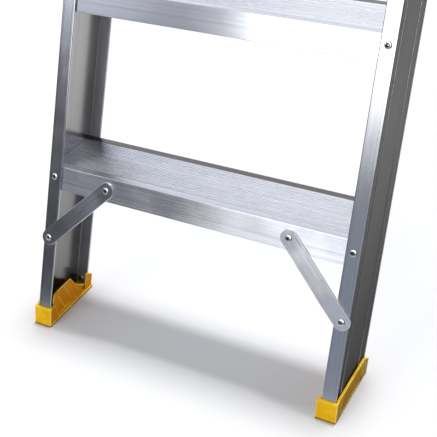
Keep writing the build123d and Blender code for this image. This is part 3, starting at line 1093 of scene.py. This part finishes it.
@dataclass(frozen=True)
class BlindRivet:
    """Set blind rivet with the stub of its mandrel still in it."""

    stance: Stance
    head_radius: float = 5.2
    head_height: float = 1.7
    rim_height: float = 0.45
    mouth_radius: float = 2.8
    mouth_depth: float = 1.3
    undercut: float = 0.8
    shank_radius: float = 2.4
    bore_radius: float = 1.45
    tail_radius: float = 3.7
    tail_length: float = 4.0
    tail_taper: float = 0.2
    tail_round: float = 0.8
    stub_clearance: float = 0.05
    stub_recess: float = 1.6
    stub_head: float = 1.6
    stub_round: float = 0.3
    break_depth: float = 0.35
    break_slope: float = 0.1
    break_share: float = 0.6
    # painted shade: the two fields below give the height and the reach past the shank of the near-black ring
    # round the foot of the head
    shade_height: float = 0.81
    shade_start: float = 0.5
    steps: int = 36
    dome_points: int = 8

    def dome(self) -> list[tuple[float, float]]:
        """Points of the head's dome, from its mouth to its rim."""
        rise = self.head_height - self.rim_height
        start = math.asin(self.mouth_radius / self.head_radius)
        points = []
        for index in range(self.dome_points):
            angle = start + (math.pi / 2 - start) * index / (self.dome_points - 1)
            points.append((self.head_radius * math.sin(angle), self.rim_height + rise * math.cos(angle)))
        return points

    def body(self, grip: float) -> Blank:
        """Spins the rivet: head above the origin, shank and tail below.

        Args:
            grip: thickness of what it clamps.

        Returns:
            The rivet.
        """
        tail_end = -grip - self.tail_length
        bore = self.bore_radius
        outline = [(bore, tail_end), (bore, self.head_height - self.mouth_depth)]
        outline += self.dome()
        outline += [
            (self.head_radius, self.rim_height / 2),
            (self.head_radius - self.undercut, 0.0),
            (self.shank_radius, 0.0),
            (self.shank_radius, -grip),
            (self.tail_radius - self.tail_taper, -grip),
            (self.tail_radius, -grip - self.tail_length / 2),
            (self.tail_radius - self.tail_round, tail_end),
            (bore, tail_end),
        ]
        blank = Blank.turned(outline, self.steps)
        # painted shade in the mouth and round the foot of the head
        for face in blank.bm.faces:
            middle = face.calc_center_median()
            radius = math.hypot(middle.x, middle.y)
            mouth = middle.z > 0.0 and radius < self.mouth_radius
            rim = 0.0 < middle.z < self.shade_height and radius > self.shank_radius + self.shade_start
            face.material_index = RIVET_FINISHES.index(RIVET_PAINTED_SHADE if mouth or rim else RIVET_METAL)
        return blank

    def stub(self, grip: float) -> Blank:
        """Spins the broken mandrel that stays in the rivet.

        Args:
            grip: thickness of what the rivet clamps.

        Returns:
            The stub.
        """
        tail_end = -grip - self.tail_length
        radius = self.bore_radius - self.stub_clearance
        broken = self.head_height - self.stub_recess
        outline = [
            (0.0, broken - self.break_depth),
            (radius * self.break_share, broken - self.break_slope),
            (radius, broken),
            (radius, tail_end),
            (self.shank_radius - self.tail_taper, tail_end),
            (self.shank_radius, tail_end - self.stub_round),
            (self.shank_radius - self.stub_round, tail_end - self.stub_head + self.stub_round),
            (0.0, tail_end - self.stub_head),
        ]
        return Blank.turned(outline, self.steps)

    def pair(self, place: RivetPlace, make: Callable[[float], Blank]) -> Blank:
        """Puts a rivet or a stub on each side.

        Args:
            place: where they go.
            make: spins one of them.

        Returns:
            Both, in stile coordinates.
        """
        turn = Matrix.Rotation(math.radians(-90.0) * place.outward, 4, "X")
        both = Blank()
        for side in Side:
            one = make(place.grip)
            one.bm.transform(Matrix.Translation((side.value * place.across, place.seat, place.run)) @ turn)
            both.join(one)
        return both

    def build(self, place: RivetPlace, finishes: Finishes) -> None:
        """Builds the pair of rivets at a place, and their stubs.

        Args:
            place: where they go.
            finishes: gives their materials.
        """
        matrix = self.stance.stile_matrix()
        self.pair(place, self.body).piece(
            "rivet_pair_" + place.name, matrix, ["rivets_" + place.name], RIVET_METAL.slot,
            [finishes.material(finish) for finish in RIVET_FINISHES],
        )
        self.pair(place, self.stub).piece(
            "stub_pair_" + place.name, matrix, ["rivet_stubs_" + place.name], STUB_METAL.slot,
            [finishes.material(STUB_METAL)],
        )


def rivet_places(stance: Stance, brace: KneeBrace,
                 treads: Sequence[RibbedTread]) -> list[RivetPlace]:
    """Lists where the rivets go.

    Args:
        stance: gives the stiles' sizes.
        brace: gives the places and thickness of the braces.
        treads: the two treads, lower first.

    Returns:
        One place for each pair.
    """
    middle, flange, skirt, bar = stance.flange_middle, stance.flange, treads[0].skirt, brace.thickness
    grip = flange + skirt
    places = []
    for tread in treads:
        name, run = tread.place + "_tread", stance.tread_run(tread.height) - tread.rivet_drop
        places.append(RivetPlace(name + "_front", middle, run, 0.0, -1, grip))
        places.append(RivetPlace(name + "_rear", middle, run, stance.stile_depth, 1, grip))
    upper_seat = flange - bar
    places.append(RivetPlace("brace_upper", brace.inner_reach, brace.upper_run, upper_seat, -1, bar + skirt))
    places.append(RivetPlace("brace_lower", middle, brace.lower_run, -bar, -1, bar + flange))
    boot_seat = stance.stile_depth + Boot.rear_wall - Boot.rivet_recess
    boot_grip = Boot.rear_wall - Boot.rivet_recess + flange
    places.append(RivetPlace("foot", middle, Boot.rivet_run, boot_seat, 1, boot_grip))
    return places


# ---- boots ----------------------------------------------------------------------
@dataclass(frozen=True)
class Boot:
    """Moulded boot: the frame's form, with the soft edges that it has from the mould."""

    stance: Stance
    rear_wall: float = 7.0
    rivet_run: float = 57.5
    rivet_recess: float = 4.2
    bead_radius: float = 0.8
    bead_length: float = 12.0
    bead_area: float = 25.0
    toe_end: float = 12.0
    toe_top: float = 15.0
    toe_length: float = 5.0
    toe_area: float = 15.0
    band_height: float = 3.5
    edge_radius: float = 0.35
    soft_angle: float = math.radians(35.0)
    slant: float = 0.95
    field: float = 260.6
    field_reach: float = 0.15
    wall: float = 261.3
    rib_crest: float = 261.6
    crest_reach: float = 0.2
    plate_rib: float = 235.3
    plate_rib_reach: float = 0.3

    def hard_edges(self, bm: bmesh.types.BMesh) -> list[bmesh.types.BMEdge]:
        """Finds the edges between faces that meet at more than the soft angle."""
        return [edge for edge in bm.edges if edge.is_manifold and edge.calc_face_angle(0.0) > self.soft_angle]

    def takes_highlight(self, edge: bmesh.types.BMEdge) -> bool:
        """Tells whether an edge is one that gets rounded and a painted highlight.

        Args:
            edge: a hard edge of the frame's form.

        Returns:
            True for the long outward edges above the sole and for the toe's top edge.
        """
        length = edge.calc_length()
        low = min(vert.co.z for vert in edge.verts)
        area = min(face.calc_area() for face in edge.link_faces)
        on_toe = max(vert.co.y for vert in edge.verts) < self.toe_end and low > self.toe_top
        toe = on_toe and length > self.toe_length and area > self.toe_area
        long = length > self.bead_length and area > self.bead_area and low > self.band_height
        crest = all(abs(abs(vert.co.x) - self.rib_crest) < self.crest_reach for vert in edge.verts)
        return edge.calc_face_angle_signed(0.0) > 0.0 and not crest and (long or toe)

    def finish_of(self, face: bmesh.types.BMFace, side: Side) -> MouldedPlastic:
        """Chooses the finish of a face.

        Args:
            face: a face of the frame's form.
            side: which side the boot is on.

        Returns:
            One of the yellow finishes.
        """
        middle = face.calc_center_median()
        across, outward = abs(middle.x), face.normal.x * side.value
        above_sole = middle.z > self.band_height
        # the sunk field gets the dark copy with painted shade
        if outward > FACING and abs(across - self.field) < self.field_reach:
            return YELLOW_FIELD
        # the outer side gets the darker copy with painted shade
        if outward > FACING and across > self.wall:
            return YELLOW_WALL
        # the inner plate gets the darker copy with painted shade
        if outward < -FACING and middle.y > self.toe_end and above_sole:
            return YELLOW_PLATE
        # the toe's slanted faces and the plate's rib faces get the painted highlight
        slanted = max(abs(part) for part in face.normal) < self.slant
        marked = slanted and above_sole and middle.y < self.toe_end
        rib = abs(across - self.plate_rib) < self.plate_rib_reach and abs(face.normal.x) < AVERTED
        return YELLOW_PAINTED_HIGHLIGHT if marked or rib else YELLOW_PLASTIC

    def build(self, side: Side, finishes: Finishes) -> bpy.types.Object:
        """Builds one boot.

        Args:
            side: which side it is on.
            finishes: gives its material.

        Returns:
            The boot.
        """
        name = "foot_" + side.name.lower()
        blank = Blank.from_node(name, self.stance)
        bm = blank.bm
        for face in bm.faces:
            face.material_index = YELLOW_FINISHES.index(self.finish_of(face, side))
        # the long edges are rounded and given the painted highlight
        highlight_index = YELLOW_FINISHES.index(YELLOW_PAINTED_HIGHLIGHT)
        long = [edge for edge in self.hard_edges(bm) if self.takes_highlight(edge)]
        blank.round_edges(long, self.bead_radius, segments=3, material=highlight_index, clamp=False)
        short = [
            edge for edge in self.hard_edges(bm)
            if all(face.material_index != highlight_index for face in edge.link_faces)
        ]
        blank.round_edges(short, self.edge_radius)
        materials = [finishes.material(finish) for finish in YELLOW_FINISHES]
        return blank.piece(
            name + "_moulding", self.stance.level_matrix(), [name], YELLOW_PLASTIC.slot, materials
        )


# ---- studio ---------------------------------------------------------------------
@dataclass(frozen=True)
class KeyLamp:
    """Soft lamp far away, above and behind the ladder."""

    strength: float = 3.3
    softness: float = math.radians(10.0)
    azimuth: float = math.radians(180.0)
    elevation: float = math.radians(67.0)

    def build(self) -> None:
        """Adds the lamp to the scene."""
        lamp = bpy.data.lights.new("key_lamp", "SUN")
        lamp.energy = self.strength
        lamp.angle = self.softness
        holder = bpy.data.objects.new("key_lamp", lamp)
        towards = Vector((
            math.sin(self.azimuth) * math.cos(self.elevation),
            -math.cos(self.azimuth) * math.cos(self.elevation),
            math.sin(self.elevation),
        ))
        holder.rotation_euler = towards.to_track_quat("Z", "Y").to_euler()
        bpy.context.scene.collection.objects.link(holder)


WHITE = (1.0, 1.0, 1.0)
PALE = (0.94, 0.97, 1.12)
COOL = (0.88, 0.96, 1.18)


@dataclass(frozen=True)
class Panel:
    """Soft bright field of the surround, placed by angles in degrees.

    The angle across is 0 straight ahead or behind, negative to the left and positive to
    the right.
    """

    half: Half
    across: tuple[float, float]
    across_edge: float
    heights: tuple[float, float]
    height_edges: tuple[float, float]
    strength: float
    tint: tuple[float, float, float]

    SEAM = 0.1

    def level(self, graph: Graph, forward: Pair, across: Pair, height: Pair) -> Pair:
        """Adds the panel's brightness to a graph.

        Args:
            graph: the world's graph.
            forward: tells how much a ray looks to the front.
            across: gives the angle across, in degrees.
            height: gives the angle of height, in degrees.

        Returns:
            The (node, output) pair of the brightness.
        """
        facing = graph.ramp(forward, -self.SEAM, self.SEAM, self.half.value, 1.0 - self.half.value)
        start, end = self.across
        low, high = self.heights
        sides = graph.math(
            "MULTIPLY",
            graph.ramp(across, start - self.across_edge, start + self.across_edge, 0.0, 1.0),
            graph.ramp(across, end - self.across_edge, end + self.across_edge, 1.0, 0.0),
        )
        rise = graph.math(
            "MULTIPLY",
            graph.ramp(height, low - self.height_edges[0], low + self.height_edges[0], 0.0, 1.0),
            graph.ramp(height, high - self.height_edges[1], high + self.height_edges[1], self.strength, 0.0),
        )
        return graph.math("MULTIPLY", facing, graph.math("MULTIPLY", sides, rise))


@dataclass(frozen=True)
class Studio:
    """Pale floor sheet in a dim room with soft bright panels in front, above and behind."""

    sheet_side: float = 3.0
    sheet_front: float = -0.42
    sheet_back: float = 5.0
    floor_colour: tuple[float, float, float] = (0.60, 0.60, 0.60)
    dim: float = 0.06
    overhead: float = 0.30
    rise: tuple[float, float] = (30.0, 60.0)
    panels: tuple[Panel, ...] = (
        Panel(Half.IN_FRONT, (-25.6, 15.0), 1.4, (12.6, 44.0), (2.2, 8.0), 3.1, WHITE),
        Panel(Half.IN_FRONT, (-24.8, -19.0), 1.2, (8.5, 12.5), (1.5, 1.5), 0.8, WHITE),
        Panel(Half.IN_FRONT, (-22.0, 15.0), 4.0, (-40.0, 8.5), (5.0, 3.0), 0.38, COOL),
        Panel(Half.IN_FRONT, (20.0, 70.0), 4.0, (8.0, 34.0), (4.0, 8.0), 0.20, WHITE),
        Panel(Half.IN_FRONT, (-80.0, -24.0), 2.5, (13.0, 30.0), (1.5, 8.0), 0.64, PALE),
        Panel(Half.IN_FRONT, (-80.0, -32.5), 2.5, (13.0, 30.0), (1.5, 8.0), 0.60, PALE),
        Panel(Half.IN_FRONT, (-80.0, -4.0), 6.0, (38.0, 84.0), (5.0, 5.0), 0.8, WHITE),
        Panel(Half.BEHIND, (-56.0, 56.0), 14.0, (10.0, 46.0), (4.0, 8.0), 1.38, PALE),
    )

    def build(self) -> None:
        """Adds the floor and the surround."""
        blank = Blank()
        corners = (
            (-self.sheet_side, self.sheet_front), (self.sheet_side, self.sheet_front),
            (self.sheet_side, self.sheet_back), (-self.sheet_side, self.sheet_back),
        )
        blank.bm.faces.new([blank.bm.verts.new((x, y, 0.0)) for x, y in corners])
        mesh = bpy.data.meshes.new("studio_floor")
        blank.bm.to_mesh(mesh)
        blank.bm.free()
        floor = bpy.data.objects.new("studio_floor", mesh)
        bpy.context.scene.collection.objects.link(floor)
        material, graph = new_material("studio_floor")
        shader = graph.add("BsdfDiffuse", Color=(*self.floor_colour, 1.0))
        graph.add("OutputMaterial", Surface=(shader, "BSDF"))
        mesh.materials.append(material)
        self.surround()

    def surround(self) -> None:
        """Adds the world: dim low down, brighter above, with the bright panels."""
        world = bpy.data.worlds.new("studio")
        world.use_nodes = True
        graph = Graph(world.node_tree)
        way = graph.add("SeparateXYZ", Vector=(graph.add("TexCoord"), "Generated"))
        forward = graph.math("MULTIPLY", (way, "Y"), -1.0)
        across = graph.math("DEGREES", graph.math("ARCSINE", (way, "X")))
        height = graph.math("DEGREES", graph.math("ARCSINE", (way, "Z")))
        level = graph.ramp(height, *self.rise, self.dim, self.overhead)
        glow = graph.add("VectorMath", {"operation": "SCALE"}, i0=WHITE, Scale=level)
        for panel in self.panels:
            level = panel.level(graph, forward, across, height)
            light = graph.add("VectorMath", {"operation": "SCALE"}, i0=panel.tint, Scale=level)
            glow = graph.add("VectorMath", {"operation": "ADD"}, i0=(glow, "Vector"), i1=(light, "Vector"))
        back = graph.add("Background", Color=(glow, "Vector"), Strength=1.0)
        graph.add("OutputWorld", Surface=(back, "Background"))
        bpy.context.scene.world = world


@dataclass(frozen=True)
class ViewCamera:
    """Camera at eye height to the right of the ladder, counted from the floor line."""

    across: float = 621.07
    back: float = -888.57
    height: float = 998.35
    azimuth: float = 0.5342
    elevation: float = 0.59405
    roll: float = -0.0671
    lens: float = 79.56
    sensor: float = 36.0

    def build(self, stance: Stance) -> None:
        """Adds the camera and makes it the scene's.

        Args:
            stance: gives the floor line.
        """
        data = bpy.data.cameras.new("camera")
        data.lens = self.lens
        data.sensor_width = self.sensor
        data.clip_start = 0.01
        ahead = Vector((
            -math.sin(self.azimuth) * math.cos(self.elevation),
            math.cos(self.azimuth) * math.cos(self.elevation),
            -math.sin(self.elevation),
        ))
        level = Vector((math.cos(self.azimuth), math.sin(self.azimuth), 0.0))
        above = level.cross(ahead)
        right = math.cos(self.roll) * level + math.sin(self.roll) * above
        up = -math.sin(self.roll) * level + math.cos(self.roll) * above
        turn = Matrix((right, up, -ahead)).transposed().to_4x4()
        place = stance.level_matrix() @ Vector((self.across, self.back, self.height))
        holder = bpy.data.objects.new("camera", data)
        holder.matrix_world = Matrix.Translation(place) @ turn
        bpy.context.scene.collection.objects.link(holder)
        bpy.context.scene.camera = holder


def main() -> None:
    """Builds the ladder piece by piece, then the studio round it."""
    logging.basicConfig(level=logging.INFO, format="%(name)s: %(message)s")
    bpy.context.scene.view_settings.view_transform = "Standard"
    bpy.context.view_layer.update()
    stance = Stance()
    finishes = Finishes()
    treads = [
        RibbedTread(stance, "lower", stance.first_tread, rivet_drop=16.4),
        RibbedTread(stance, "upper", stance.first_tread + stance.tread_rise, rivet_drop=13.4),
    ]
    brace = KneeBrace(stance)
    for side in Side:
        ChannelStile(stance).build(side, finishes)
        brace.build(side, finishes)
        Boot(stance).build(side, finishes)
    for tread in treads:
        tread.build(finishes)
    for place in rivet_places(stance, brace, treads):
        BlindRivet(stance).build(place, finishes)
    Studio().build()
    KeyLamp().build()
    ViewCamera().build(stance)


if __name__ == "__main__":
    main()
